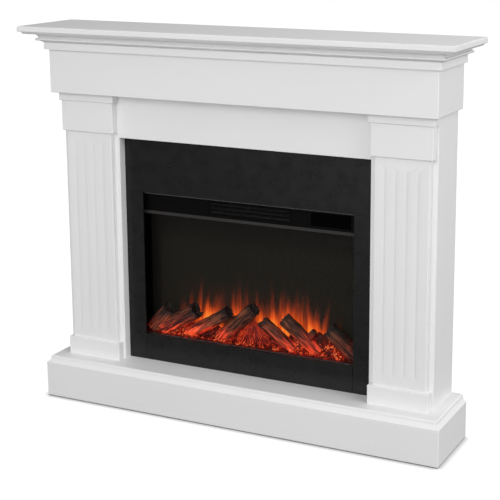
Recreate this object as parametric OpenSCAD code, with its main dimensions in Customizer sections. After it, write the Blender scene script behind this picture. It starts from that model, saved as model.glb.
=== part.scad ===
// Electric fireplace: a painted mantel with a slim heater and flame insert.
// Millimetres. The origin is on the floor under the middle of the bounding box,
// +Z is up, the front faces -Y and +X is to the right as seen from the front.
// Depths called "wall depth" are counted from the wall plane towards the room;
// depths called "set back" are counted from the black surround towards the wall.

/* [Overall] */
// Width across the shelf
shelf_w = 1204; // [1150:1:1500]
// Depth from the wall to the shelf's front edge
shelf_d = 242; // [240:1:320]
// Height from the floor to the top of the shelf
overall_h = 1026; // [960:1:1250]

/* [Shelf and crown] */
// Thickness of the shelf
shelf_t = 15; // [12:1:25]
// Radius of the shelf's long edges
shelf_edge_r = 2.5; // [1:0.5:5]
// How far the shelf stands out from the frieze
shelf_overhang = 58; // [54:1:80]
// Height of the crown moulding
crown_h = 48; // [44:1:60]

/* [Frieze and lintel] */
// Height of the frieze below the crown
frieze_h = 115; // [80:1:160]
// How far the frieze stands in front of the legs
frieze_step_d = 44; // [30:1:60]
// How far the frieze stands out sideways from the legs
frieze_step_w = 12; // [6:1:30]
// Height of the panel over the surround
lintel_h = 117; // [60:1:160]
// Thickness of the mantel's boards
board_t = 15; // [12:1:18]

/* [Legs and pilasters] */
// Width of a leg
leg_w = 172; // [140:1:210]
// Height of the pilaster cap
cap_h = 22; // [14:1:30]
// Height of the block under the cap
block_h = 82; // [60:1:110]
// Height of the plinth block
plinth_h = 49; // [30:1:80]
// Side margin of the cap on its leg
cap_margin = 1; // [0:0.5:6]
// Side margin of the block on its leg
block_margin = 6; // [2:0.5:12]
// Side margin of the shaft on its leg
shaft_margin = 15; // [10:0.5:20]
// Side margin of the plinth block on its leg
plinth_margin = 5; // [2:0.5:10]
// How far the cap stands out from the leg
cap_t = 26; // [20:0.5:34]
// How far the block stands out from the leg
block_t = 22; // [16:0.5:26]
// How far the shaft stands out from the leg
shaft_t = 16; // [10:0.5:18]
// How far the plinth block stands out from the leg
plinth_t = 24; // [16:0.5:30]
// Number of grooves in a shaft
groove_count = 4; // [2:1:6]
// Width of a groove
groove_w = 4; // [2:0.5:8]
// Depth of a groove
groove_depth = 3; // [1:0.5:6]
// Plain length of the shaft above and below its grooves
groove_end = 33; // [20:1:60]

/* [Base] */
// Height of the base
base_h = 116; // [80:1:160]
// How far the shelf stands out sideways from the base
base_inset = 30; // [10:1:60]
// How far the shelf stands in front of the base
base_setback = 30; // [10:1:60]
// Thickness of the base's top board
deck_t = 22; // [20:1:30]
// Width of the sloping band on the deck's edge
deck_slope = 9; // [6:0.5:10]
// Height of the small step above the band
deck_step = 5; // [3:0.5:6]
// Radius of the deck's upper edge
deck_round = 5; // [3:0.5:6]
// Thickness of the base's boards
base_board_t = 18; // [15:1:22]
// Height of the glides under the base
glide_h = 2; // [1:0.5:6]

/* [Wall rail] */
// Height of the two back rails
rail_h = 60; // [40:1:80]
// Distance between the wall screws
wall_screw_span = 800; // [600:10:900]
// Radius of the wall screw holes
wall_screw_r = 2.75; // [2:0.25:4]

/* [Surround] */
// How far the surround lies behind the leg's front
reveal = 24; // [10:1:40]
// Thickness of the surround's panels
surround_t = 4; // [2:0.5:6]
// Width of a side panel of the surround
stile_w = 53; // [40:1:80]
// Height of the top panel of the surround
surround_head = 147; // [130:1:170]
// Height of the bottom panel of the surround
surround_foot = 72; // [60:1:90]
// Gap between the surround's panels
seam = 0.6; // [0.4:0.1:1.5]
// How far the surround runs up behind the lintel
surround_tuck = 10; // [4:1:20]

/* [Insert] */
// Thickness of the insert's sheet metal
sheet_t = 1.5; // [1:0.5:2]
// Set back of the insert's rear cover
case_d = 106; // [104:1:112]
// Gap between the insert's sides and the legs
case_gap = 28; // [24:1:32]
// Set back of the control strip
strip_setback = 25; // [22:0.5:28]
// Height of the control strip
strip_h = 54; // [44:1:66]
// Height of the trim bar under the strip
bar_h = 8.5; // [5:0.5:10]
// Thickness of the front glass
glass_t = 4; // [3:0.5:5]
// Set back of the flame screen
screen_setback = 70; // [58:0.5:72]
// Thickness of the flame screen
screen_t = 3; // [2:0.5:4]

/* [Heater outlet and display] */
// Width of the heater outlet
outlet_w = 244; // [200:1:260]
// Number of slots in the outlet
slot_count = 3; // [2:1:3]
// Height of a slot in the outlet
slot_h = 8; // [5:0.5:9]
// Thickness of the bars between the slots
slat_t = 2.5; // [1.5:0.5:3]
// Width of the display window
display_w = 110; // [60:1:120]
// Height of the display window
display_h = 34; // [20:1:36]

/* [Fire bed] */
// Height of the tray above the deck
tray_rise = 66; // [50:1:70]
// Height of the ember bed
ember_h = 16; // [10:1:24]
// Height of the heap of embers between the logs
heap_h = 44; // [20:1:60]

/* [Flame rotor] */
// Radius of the rotor's shaft
rotor_shaft_r = 2; // [1.5:0.1:3]
// Radius over the rotor's reflecting fingers
rotor_r = 12; // [8:0.5:13]
// Number of fingers
finger_count = 24; // [12:1:32]
// Radius of the rotor's motor
rotor_motor_r = 14; // [12:0.5:15]

/* [Blower] */
// Radius of the blower wheel
wheel_r = 24; // [18:0.5:25]
// Length of the blower wheel
wheel_l = 236; // [180:1:240]
// Number of blades
blade_count = 20; // [12:1:28]
// Radius of the blower's shaft
wheel_shaft_r = 3; // [2:0.5:4]

/* [Rear fittings] */
// Radius of the hole for the supply lead
lead_r = 4; // [3:0.1:5]
// Radial clearance of the turning shafts
shaft_clear = 0.05; // [0.02:0.01:0.09]

/* [Hidden] */
$fn = 48;

// Colours
PAINT = "#f2f2f0";
STEEL_BLACK = "#262626";
TRIM_GREY = "#3a3a3a";
BARE_STEEL = "#9a9ca0";
BARK = "#5a2e1c";
EMBER = "#e0401a";

// Half widths
shelf_hw = shelf_w/2;
frieze_hw = shelf_hw - shelf_overhang;
leg_hw = frieze_hw - frieze_step_w;
opening_hw = leg_hw - leg_w;
base_hw = shelf_hw - base_inset;
fit_gap = 0.3;
surround_hw = opening_hw - fit_gap;
view_hw = surround_hw - stile_w;
case_hw = opening_hw - case_gap;
liner_t = 2;
liner_gap = 4;
liner_hw = case_hw - liner_gap - liner_t;

// Wall depths
frieze_d = shelf_d - shelf_overhang;
leg_d = frieze_d - frieze_step_d;
base_d = shelf_d - base_setback;
surround_d = leg_d - reveal;

// Heights
shelf_z = overall_h - shelf_t;
crown_z = shelf_z - crown_h;
frieze_z = crown_z - frieze_h;
lintel_z = frieze_z - lintel_h;
surround_z = lintel_z + surround_tuck;
view_top = lintel_z - surround_head;
view_bottom = base_h + surround_foot;
strip_z = view_top - strip_h;
bar_z = strip_z - bar_h;
tray_t = 2;
tray_z = base_h + tray_rise - tray_t;
bed_z = base_h + tray_rise;
log_z = bed_z + ember_h;
case_top_z = lintel_z - 6;

function wall(d) = shelf_d/2 - d;
function inset(f) = wall(surround_d) + f;
// Points on an arc, for the round stretches of an outline
function arc(cx, cy, r, a0, a1, n = 8) =
    [for (i = [0:n]) let (a = a0 + (a1 - a0)*i/n) [cx + r*cos(a), cy + r*sin(a)]];

module block(x, y, z)
    translate([x[0], y[0], z[0]]) cube([x[1] - x[0], y[1] - y[0], z[1] - z[0]]);
// A board given by its wall depths
module board(x, d, z) block(x, [wall(d[1]), wall(d[0])], z);
// A piece of the insert given by its set back
module piece(x, f, z) block(x, [inset(f[0]), inset(f[1])], z);
// An outline in Y and Z, drawn out along X
module along_x(x0, x1)
    translate([x0, 0, 0]) rotate([90, 0, 90]) linear_extrude(x1 - x0) children();
// An outline in X and Z, drawn out along Y
module along_y(y0, y1)
    translate([0, y1, 0]) rotate([90, 0, 0]) linear_extrude(y1 - y0) children();
module pair() {
    children();
    mirror([1, 0, 0]) children();
}
module left() mirror([1, 0, 0]) children();
module rod_x(r, x0, x1, y, z) translate([x0, y, z]) rotate([0, 90, 0]) cylinder(r = r, h = x1 - x0);
module rod_y(r, y0, y1, x, z) translate([x, y1, z]) rotate([90, 0, 0]) cylinder(r = r, h = y1 - y0);

// ---------- shelf, crown and frieze ----------

// A plate whose front and side edges carry the profile `edge`: points of
// [distance in from the outer face, height], from the bottom face to the top
module moulded_plate(hw, d, edge) {
    back = wall(0);
    face = wall(d);
    side = [for (p = edge) [hw - p[0], p[1]]];
    intersection() {
        along_x(-hw, hw) polygon(concat([for (p = edge) [face + p[0], p[1]]],
            [[back, edge[len(edge) - 1][1]], [back, edge[0][1]]]));
        along_y(face, back) polygon(concat(side,
            [for (i = [len(side) - 1:-1:0]) [-side[i][0], side[i][1]]]));
    }
}

module shelf_top() color(PAINT) {
    r = shelf_edge_r;
    moulded_plate(shelf_hw, shelf_d,
        concat(arc(r, shelf_z + r, r, 270, 180, 5), arc(r, overall_h - r, r, 180, 90, 5)));
}

// Outline of the crown: how far it stands out from the frieze, and its height
lip_out = 50;
lip_h = 6;
neck_out = 31;
bead_out = 25.5;
bead_top = 18;
bead_bottom = 24;
cove_out = 23;
foot_out = 9.5;
foot_h = 4;
function crown_outline() = concat(
    [[0, crown_h], [lip_out, crown_h]],
    [[lip_out - 0.6, crown_h - lip_h*0.5], [lip_out - 3.5, crown_h - lip_h]],
    arc(neck_out, crown_h - bead_top, bead_top - lip_h, 90, 180, 8),
    [[neck_out - bead_top + lip_h + 1.5, crown_h - bead_top]],
    arc(bead_out - 3, crown_h - (bead_top + bead_bottom)/2, (bead_bottom - bead_top)/2, 90, -90, 8),
    arc(cove_out, foot_h, crown_h - bead_bottom - foot_h, 90, 135, 6),
    [[foot_out, foot_h], [foot_out, 0], [0, 0]]);

module crown_section(sign) translate([0, crown_z])
    polygon([for (p = crown_outline()) [sign*p[0], p[1]]]);

crown_reach = lip_out + 1;
module crown_front() color(PAINT) intersection() {
    face = wall(frieze_d);
    along_x(-shelf_hw, shelf_hw) translate([face, 0]) crown_section(-1);
    translate([0, 0, crown_z - 1]) linear_extrude(crown_h + 2)
        polygon([[-frieze_hw, face], [frieze_hw, face],
            [frieze_hw + crown_reach, face - crown_reach],
            [-frieze_hw - crown_reach, face - crown_reach]]);
}
module crown_right() color(PAINT) intersection() {
    face = wall(frieze_d);
    along_y(face - crown_reach, wall(0)) translate([frieze_hw, 0]) crown_section(1);
    translate([0, 0, crown_z - 1]) linear_extrude(crown_h + 2)
        polygon([[frieze_hw, wall(0)], [frieze_hw, face],
            [frieze_hw + crown_reach, face - crown_reach], [frieze_hw + crown_reach, wall(0)]]);
}
module crown_left() left() crown_right();

module frieze_front() color(PAINT)
    board([-frieze_hw, frieze_hw], [frieze_d - board_t, frieze_d], [frieze_z, shelf_z]);
module frieze_ends() color(PAINT)
    pair() board([frieze_hw - board_t, frieze_hw], [0, frieze_d - board_t], [frieze_z, shelf_z]);
module frieze_floor() color(PAINT) board([board_t - frieze_hw, frieze_hw - board_t],
    [0, frieze_d - board_t], [frieze_z, frieze_z + board_t]);

// ---------- legs and pilasters ----------

leg_x = [opening_hw, leg_hw];
module side_panel_right() color(PAINT)
    board([leg_hw - board_t, leg_hw], [0, leg_d], [base_h, frieze_z]);
module side_panel_left() left() side_panel_right();
module leg_fronts() color(PAINT)
    pair() board([opening_hw, leg_hw - board_t], [leg_d - board_t, leg_d], [base_h, frieze_z]);
module inner_panels() color(PAINT)
    pair() board([opening_hw, opening_hw + board_t], [0, leg_d - board_t], [base_h, frieze_z]);
module lintel_panel() color(PAINT)
    board([-opening_hw, opening_hw], [leg_d - board_t, leg_d], [lintel_z, frieze_z]);

// A block on the front of a leg, set in by `margin` at each side
module on_leg(margin, t, z) board([leg_x[0] + margin, leg_x[1] - margin], [leg_d, leg_d + t], z);
cap_z = frieze_z - cap_h;
block_z = cap_z - block_h;
plinth_z = base_h + plinth_h;
module pilaster_caps() color(PAINT) pair() on_leg(cap_margin, cap_t, [cap_z, frieze_z]);
module pilaster_blocks() color(PAINT) pair() on_leg(block_margin, block_t, [block_z, cap_z]);
module pilaster_plinths() color(PAINT) pair() on_leg(plinth_margin, plinth_t, [base_h, plinth_z]);

// The shaft has V grooves with pointed ends, which part it into equal staves
module pilaster_shaft_right() color(PAINT) {
    x0 = leg_x[0] + shaft_margin;
    stave = (leg_w - 2*shaft_margin)/(groove_count + 1);
    face = wall(leg_d + shaft_t);
    difference() {
        on_leg(shaft_margin, shaft_t, [plinth_z, block_z]);
        for (i = [1:groove_count])
            translate([x0 + i*stave, face, 0])
                translate([0, 0, plinth_z + groove_end])
                    linear_extrude(block_z - plinth_z - 2*groove_end)
                        polygon([[-groove_w/2, 0], [-groove_w/2, -1], [groove_w/2, -1],
                            [groove_w/2, 0], [0, groove_depth]]);
    }
}
module pilaster_shaft_left() left() pilaster_shaft_right();

// ---------- base ----------

deck_z = base_h - deck_t;
module base_deck() color(PAINT) {
    slope_z = base_h - deck_round - deck_step;
    moulded_plate(base_hw, base_d, concat(
        [[0, deck_z], [0, slope_z - deck_slope], [deck_slope, slope_z]],
        arc(deck_slope + deck_round, base_h - deck_round, deck_round, 180, 90, 6)));
}
module base_front() color(PAINT)
    board([-base_hw, base_hw], [base_d - base_board_t, base_d], [glide_h, deck_z]);
module base_right() color(PAINT)
    board([base_hw - base_board_t, base_hw], [0, base_d - base_board_t], [glide_h, deck_z]);
module base_left() left() base_right();

glide_r = 8;
module base_glides() color("#8c8c88") {
    edge = base_board_t/2;
    for (x = [-1, -1/3, 1/3, 1])
        translate([x*(base_hw - edge), wall(base_d - edge), 0]) cylinder(r = glide_r, h = glide_h);
    for (x = [-1, 1])
        translate([x*(base_hw - edge), wall(3*glide_r), 0]) cylinder(r = glide_r, h = glide_h);
}

// Upper rail, drilled for the wall screws, and lower rail
rail_z = shelf_z - rail_h;
module back_rails() color(PAINT) {
    difference() {
        board([board_t - frieze_hw, frieze_hw - board_t], [0, board_t], [rail_z, shelf_z]);
        for (s = [-1, 1])
            rod_y(wall_screw_r, wall(board_t + 1), wall(-1), s*wall_screw_span/2, rail_z + rail_h/2);
    }
    board([base_board_t - base_hw, base_hw - base_board_t], [0, base_board_t],
        [deck_z - rail_h, deck_z]);
}

// ---------- black surround ----------

module surround_top() color(STEEL_BLACK)
    piece([-surround_hw, surround_hw], [0, surround_t], [view_top, surround_z]);
module surround_right() color(STEEL_BLACK)
    piece([view_hw, surround_hw], [0, surround_t], [base_h, view_top - seam]);
module surround_left() left() surround_right();
module surround_bottom() color(STEEL_BLACK)
    piece([seam - view_hw, view_hw - seam], [0, surround_t], [base_h, view_bottom]);

// ---------- insert: case ----------

case_x = [-case_hw, case_hw];
back_f = case_d - sheet_t;
flange_w = 12;
screw_r = 1.5;
screw_z = [case_top_z - 40, (case_top_z + base_h)/2, base_h + 40];

module case_floor() color(BARE_STEEL)
    piece(case_x, [surround_t, back_f], [base_h, base_h + sheet_t]);
module case_roof() color(BARE_STEEL)
    piece(case_x, [surround_t, back_f], [case_top_z - sheet_t, case_top_z]);
// Sides with a flange at the back, which takes the cover's screws
module case_sides() color(BARE_STEEL) pair() difference() {
    z = [base_h + sheet_t, case_top_z - sheet_t];
    union() {
        piece([case_hw - sheet_t, case_hw], [surround_t, back_f], z);
        piece([case_hw - flange_w, case_hw], [back_f - sheet_t, back_f], z);
    }
    for (h = screw_z)
        rod_y(screw_r, inset(back_f - sheet_t - 1), inset(back_f + 1), case_hw - flange_w/2, h);
}

// Intake slots, switch and lead entry, in the rear cover
intake_w = 160;
intake_slot_h = 8;
intake_pitch = 18;
intake_z = case_top_z - 74;
intake_x = [-170, 10];
switch_x = case_hw - 92;
switch_z = case_top_z - 60;
switch_hole = [19, 13];
inlet_x = case_hw - 82;
inlet_z = base_h + 36;
inlet_body_r = 7;
module rear_cover() color("#2e2f31") difference() {
    piece(case_x, [back_f, case_d], [base_h, case_top_z]);
    for (i = [0:2])
        for (x = intake_x)
            piece([x, x + intake_w], [back_f - 1, case_d + 1],
                [intake_z + i*intake_pitch, intake_z + i*intake_pitch + intake_slot_h]);
    for (s = [-1, 1])
        for (h = screw_z)
            rod_y(screw_r, inset(back_f - 1), inset(case_d + 1), s*(case_hw - flange_w/2), h);
    piece([switch_x - switch_hole[0]/2, switch_x + switch_hole[0]/2], [back_f - 1, case_d + 1],
        [switch_z - switch_hole[1]/2, switch_z + switch_hole[1]/2]);
    rod_y(inlet_body_r, inset(back_f - 1), inset(case_d + 1), inlet_x, inlet_z);
}

module side_liners() color("#141414") pair()
    piece([liner_hw, liner_hw + liner_t], [glass_f[1], screen_setback + screen_t],
        [bed_z, glass_z[1]]);

// ---------- insert: control strip, outlet, display and glass ----------

strip_t = 2;
lip_setback = 14;
strip_lip_h = 5;
outlet_margin = 2;
outlet_h = slot_count*slot_h + (slot_count - 1)*slat_t + 2*outlet_margin;
outlet_z = strip_z + (strip_h - strip_lip_h - outlet_h)/2;
outlet_hw = outlet_w/2;
display_gap = 19;
display_x = view_hw - display_gap;
display_z = strip_z + (strip_h - strip_lip_h - display_h)/2;
flange_t = 1.5;
flange_out = 3;
glass_f = [strip_setback + strip_t, strip_setback + strip_t + glass_t];
glass_z = [bed_z, bar_z + bar_h];

// Sheet strip with a lip along its top, and windows for the outlet and display
module control_strip() color("#161616") difference() {
    union() {
        piece([-liner_hw, liner_hw], [strip_setback, strip_setback + strip_t],
            [strip_z, view_top - seam]);
        piece([-liner_hw, liner_hw], [lip_setback, strip_setback],
            [view_top - seam - strip_lip_h, view_top - seam]);
    }
    piece([-outlet_hw - fit_gap, outlet_hw + fit_gap], [strip_setback - 1, strip_setback + strip_t + 1],
        [outlet_z - fit_gap, outlet_z + outlet_h + fit_gap]);
    piece([display_x - display_w - fit_gap, display_x + fit_gap],
        [strip_setback - 1, strip_setback + strip_t + 1],
        [display_z - fit_gap, display_z + display_h + fit_gap]);
}
louvre_d = 5;
slot_end = 5;
// Set back of the strip's rear face, where the outlet and display are clamped
strip_back = strip_setback + strip_t;
module outlet_louvres() color("#0f0f0f") difference() {
    union() {
        piece([-outlet_hw, outlet_hw], [strip_setback - 0.5, strip_setback - 0.5 + louvre_d],
            [outlet_z, outlet_z + outlet_h]);
        piece([-outlet_hw - flange_out, outlet_hw + flange_out], [strip_back, strip_back + flange_t],
            [outlet_z - flange_out, outlet_z + outlet_h + flange_out]);
    }
    for (i = [0:slot_count - 1]) {
        z = outlet_z + outlet_margin + i*(slot_h + slat_t);
        piece([slot_end - outlet_hw, outlet_hw - slot_end],
            [strip_setback - 2, strip_setback + louvre_d + 1], [z, z + slot_h]);
    }
}
module display_window() color("#050505") {
    piece([display_x - display_w, display_x], [strip_setback - 0.8, strip_back],
        [display_z, display_z + display_h]);
    piece([display_x - display_w - flange_out, display_x + flange_out],
        [strip_back, strip_back + flange_t],
        [display_z - flange_out, display_z + display_h + flange_out]);
}
bar_proud = 1;
module trim_bar() color(TRIM_GREY)
    piece([-liner_hw, liner_hw], [strip_setback - bar_proud, strip_setback + strip_t],
        [bar_z, strip_z]);
module front_glass() color("#202020", 0.35) piece([-liner_hw, liner_hw], glass_f, glass_z);

// ---------- insert: fire bed ----------

module log_tray() color(BARE_STEEL) piece([-case_hw + sheet_t, case_hw - sheet_t],
    [glass_f[0], back_f - flange_w], [tray_z, bed_z]);
module flame_screen() color("#26231f") piece([-liner_hw, liner_hw],
    [screen_setback, screen_setback + screen_t], [bed_z, glass_z[1]]);

// Ember bed with a channel for its lights underneath, and a heap in the middle
bed_f = [glass_f[1] + 1, screen_setback - 1];
channel_w = 12;
channel_h = 5;
heap_x = [-40, 4, 48];
module ember_bed() color(EMBER) {
    hw = liner_hw - 0.5;
    mid = (bed_f[0] + bed_f[1])/2;
    difference() {
        along_x(-hw, hw) polygon([
            [inset(bed_f[0]), bed_z], [inset(bed_f[0]), bed_z + ember_h/2],
            [inset(bed_f[0] + 5), log_z], [inset(bed_f[1]), log_z], [inset(bed_f[1]), bed_z]]);
        piece([-hw - 1, hw + 1], [mid - channel_w/2, mid + channel_w/2],
            [bed_z - 1, bed_z + channel_h]);
    }
    along_y(inset(mid), inset(bed_f[1]))
        polygon([[heap_x[0], log_z], [heap_x[2], log_z], [heap_x[1], log_z + heap_h]]);
}

// One log: a round billet from `a` to `b`, points of [x, height over the tray],
// sawn off flat where it stands on the ember bed
log_f = (bed_f[0] + bed_f[1])/2;
log_gap = 0.4;
module billet(a, b, r) color(BARK) intersection() {
    run = norm(b - a);
    translate([a[0], inset(log_f), bed_z + a[1]])
        rotate([0, atan2(b[0] - a[0], b[1] - a[1]), 0]) cylinder(r = r, h = run);
    piece([1 - liner_hw, liner_hw - 1], bed_f, [log_z, log_z + 200]);
}
module log_1() billet([-314, 7], [-257, 70], 20.5);
// This one is notched where it leans against the first
module log_2() difference() {
    billet([-285, 8], [-173, 78], 21);
    billet([-314, 7], [-257, 70], 20.5 + log_gap);
}
module log_3() billet([-202, 5], [-76, 83], 16);
module log_4() billet([-100, 8], [1, 104], 18);
module log_5() billet([24, 72], [125, 0], 15);
// This one has the stub of a branch
module log_6() color(BARK) {
    billet([88, 88], [192, 8], 17);
    translate([160, inset(log_f), bed_z + 44]) rotate([0, 35, 0]) cylinder(r = 7, h = 34);
}
module log_7() billet([217, 77], [299, 10], 20);

// ---------- insert: flame effect ----------

// The rotor turns midway between the screen and the rear cover
rotor_f = (screen_setback + screen_t + back_f)/2;
rotor_z = bed_z + 28;
rotor_x = [20 - liner_hw, liner_hw - 24];
rotor_y = inset(rotor_f);
finger_t = 0.8;
finger_w = 12;
module flame_rotor() color("#d8d8dc") {
    rod_x(rotor_shaft_r, rotor_x[0], rotor_x[1], rotor_y, rotor_z);
    pitch = (rotor_x[1] - rotor_x[0] - 40)/(finger_count - 1);
    for (i = [0:finger_count - 1])
        translate([rotor_x[0] + 16 + i*pitch, rotor_y, rotor_z])
            rotate([i*75, 0, 0])
                translate([-finger_w/2, -finger_t/2, rotor_shaft_r/2])
                    cube([finger_w, finger_t, rotor_r - rotor_shaft_r/2]);
}
bracket_t = 3;
foot_w = 20;
module rotor_bearing() color(BARE_STEEL) difference() {
    union() {
        piece([rotor_x[0], rotor_x[0] + bracket_t], [rotor_f - foot_w/2, rotor_f + foot_w/2 - 6],
            [bed_z, rotor_z]);
        rod_x(foot_w/2 - 3, rotor_x[0], rotor_x[0] + bracket_t, rotor_y, rotor_z);
    }
    rod_x(rotor_shaft_r + shaft_clear, rotor_x[0] - 1, rotor_x[0] + bracket_t + 1, rotor_y, rotor_z);
}
motor_l = 18;
socket_depth = 6;
module rotor_motor() color("#c8c9cc") difference() {
    x0 = rotor_x[1] - socket_depth;
    union() {
        rod_x(rotor_motor_r, x0, x0 + motor_l, rotor_y, rotor_z);
        piece([x0 + 3, x0 + motor_l - 3], [rotor_f - 10, rotor_f + 4], [bed_z, rotor_z]);
    }
    rod_x(rotor_shaft_r + shaft_clear, x0 - 1, rotor_x[1] + 0.5, rotor_y, rotor_z);
}
// Two strips of lights: one in the ember bed's channel, one under the rotor
led_pitch = 40;
led_board_t = 1.6;
led_size = 5;
led_h = 1.5;
module led_strip(f, w, hw) {
    piece([-hw, hw], [f - w/2, f + w/2], [bed_z, bed_z + led_board_t]);
    n = floor(hw/led_pitch);
    for (i = [-n:n])
        piece([i*led_pitch - led_size/2, i*led_pitch + led_size/2], [f - led_size/2, f + led_size/2],
            [bed_z + led_board_t, bed_z + led_board_t + led_h]);
}
led_hw = liner_hw - 44;
module led_strips() color("#e8e8d8") {
    led_strip(log_f, 9, led_hw);
    led_strip(rotor_f - 4, 9, led_hw);
}

// ---------- insert: blower and heater ----------

wheel_z = view_top + 70;
wheel_x = [-wheel_l/2, wheel_l/2];
scroll_gap = 4;
scroll_r = wheel_r + scroll_gap;
duct_front_f = strip_setback + 6;
wheel_f = duct_front_f + scroll_r + 3;
wheel_y = inset(wheel_f);
duct_back_f = wheel_f + scroll_r;
duct_hw = outlet_hw + 2;
// Cross-section of the air way, from the wheel down to the outlet
module duct_outline(grow) {
    f0 = duct_front_f - grow;
    f1 = duct_back_f + grow;
    polygon(concat(
        [[inset(f0), outlet_z - grow], [inset(f1), outlet_z + 24 - grow], [inset(f1), wheel_z]],
        arc(wheel_y, wheel_z, scroll_r + grow, 0, 90, 10),
        [[wheel_y, wheel_z], [inset(f0), wheel_z]]));
}
module blower_housing() color(BARE_STEEL) {
    difference() {
        along_x(-duct_hw, duct_hw) duct_outline(sheet_t);
        along_x(-duct_hw - 1, duct_hw + 1) duct_outline(0);
        // open at the front bottom, to the louvres
        piece([-duct_hw - 1, duct_hw + 1], [strip_setback, duct_front_f + 1],
            [outlet_z - sheet_t - 1, outlet_z + outlet_h + 1]);
        // open at the top front, where the air is drawn in
        piece([-duct_hw - 1, duct_hw + 1], [duct_front_f, wheel_f], [wheel_z - wheel_r, wheel_z + 60]);
    }
    duct_end(wheel_shaft_r + 3);
    left() duct_end(wheel_shaft_r + shaft_clear);
}
// End plate of the air way: loose round the motor's end, a bearing at the other
module duct_end(hole_r) difference() {
    along_x(duct_hw, duct_hw + sheet_t) duct_outline(sheet_t);
    rod_x(hole_r, duct_hw - 1, duct_hw + sheet_t + 1, wheel_y, wheel_z);
}
disc_t = 1.5;
blade_t = 0.8;
blade_w = 7;
module blower_wheel() color("#b8bcc0") {
    for (x = [wheel_x[0], -disc_t/2, wheel_x[1] - disc_t])
        rod_x(wheel_r, x, x + disc_t, wheel_y, wheel_z);
    for (i = [0:blade_count - 1])
        translate([wheel_x[0], wheel_y, wheel_z]) rotate([i*360/blade_count, 0, 0])
            translate([0, -blade_t/2, wheel_r - blade_w - 0.4]) rotate([18, 0, 0])
                cube([wheel_l, blade_t, blade_w]);
    rod_x(wheel_shaft_r, -duct_hw - sheet_t - 2, wheel_x[1] + 20, wheel_y, wheel_z);
}
blower_motor_l = 38;
blower_motor_r = 26;
module blower_motor() color("#6d6f73") difference() {
    x0 = duct_hw + sheet_t;
    union() {
        rod_x(blower_motor_r, x0 + 3, x0 + blower_motor_l, wheel_y, wheel_z);
        for (a = [45, 225])
            translate([0, wheel_y, wheel_z]) rotate([a, 0, 0]) translate([0, 0, 18])
                rod_x(2.5, x0, x0 + 4, 0, 0);
    }
    rod_x(wheel_shaft_r + shaft_clear, x0 - 1, wheel_x[1] + 20.5, wheel_y, wheel_z);
}
element_z = [outlet_z + outlet_h + 8, outlet_z + outlet_h + 20];
element_hw = outlet_hw - 4;
cell = 10;
module heater_element() color("#b99a5a") difference() {
    piece([-element_hw, element_hw], [duct_front_f, duct_back_f], element_z);
    n = floor((2*element_hw - 4)/cell);
    for (i = [0:n - 1])
        translate([(i - n/2)*cell + 1, 0, 0])
            piece([0, cell - 2], [duct_front_f + 5, duct_back_f - 6], [element_z[0] - 1, element_z[1] + 1]);
}
module thermal_cutout() color("#e6e2d6")
    rod_y(8, inset(duct_back_f + sheet_t), inset(duct_back_f + sheet_t + 7), 60, outlet_z + outlet_h + 30);

// ---------- insert: electrics ----------

post_l = 6;
board_f = strip_back + post_l;
board_x = [display_x - display_w - 14, display_x + 14];
board_z = [strip_z + 8, view_top + 104];
module control_board() color("#2f6b3a") {
    piece(board_x, [board_f, board_f + 1.6], board_z);
    // posts to the back of the control strip
    for (x = [board_x[0] + 5, board_x[1] - 5])
        rod_y(3, inset(strip_back), inset(board_f), x, display_z + display_h/2);
    // relays and a transformer
    for (i = [0:2])
        piece([board_x[1] - 40 - i*28, board_x[1] - 20 - i*28], [board_f + 1.6, board_f + 18],
            [view_top + 56, view_top + 72]);
    piece([board_x[0] + 30, board_x[0] + 68], [board_f + 1.6, board_f + 26],
        [view_top + 8, view_top + 40]);
}

// Rocker switch in the rear cover: its housing, and the rocker that tips in it
bezel = 2;
bezel_h = 2;
housing_d = 16;
cavity = [15, 9.4];
rocker_r = 7;
rocker_f = case_d - 1;
pivot_r = 1;
module switch_housing() color("#1c1c1c") difference() {
    union() {
        piece([switch_x - switch_hole[0]/2 + 0.2, switch_x + switch_hole[0]/2 - 0.2],
            [case_d - housing_d, case_d],
            [switch_z - switch_hole[1]/2 + 0.2, switch_z + switch_hole[1]/2 - 0.2]);
        piece([switch_x - switch_hole[0]/2 - bezel, switch_x + switch_hole[0]/2 + bezel],
            [case_d, case_d + bezel_h],
            [switch_z - switch_hole[1]/2 - bezel, switch_z + switch_hole[1]/2 + bezel]);
    }
    piece([switch_x - cavity[0]/2, switch_x + cavity[0]/2], [case_d - housing_d + 3, case_d + bezel_h + 1],
        [switch_z - cavity[1]/2, switch_z + cavity[1]/2]);
    rod_z(pivot_r + shaft_clear, switch_z - cavity[1]/2 - 1, switch_z + cavity[1]/2 + 1,
        switch_x, inset(rocker_f));
}
module rod_z(r, z0, z1, x, y) translate([x, y, z0]) cylinder(r = r, h = z1 - z0);
// The rocker: two sloping faces that meet in a shallow valley, on a pin
module power_switch() color("#b01818") {
    z = [switch_z - cavity[1]/2 + 0.4, switch_z + cavity[1]/2 - 0.4];
    translate([switch_x, inset(rocker_f), z[0]]) linear_extrude(z[1] - z[0])
        polygon([[-rocker_r, 1], [-rocker_r + 0.4, 5.4], [0, 4.2], [rocker_r - 0.4, 5.4],
            [rocker_r, 1], [2, -3], [-2, -3]]);
    rod_z(pivot_r, z[0] - 0.9, z[1] + 0.9, switch_x, inset(rocker_f));
}

// Entry for the supply lead: a flanged bush held by a nut inside the cover
module power_inlet() color("#1a1a1a") difference() {
    union() {
        rod_y(inlet_body_r - 0.1, inset(back_f - 8), inset(case_d + 1), inlet_x, inlet_z);
        rod_y(inlet_body_r + 3, inset(case_d), inset(case_d + 5), inlet_x, inlet_z);
        rod_y(inlet_body_r + 3, inset(back_f - 6), inset(back_f), inlet_x, inlet_z);
    }
    rod_y(lead_r, inset(back_f - 9), inset(case_d + 6), inlet_x, inlet_z);
}

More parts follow.
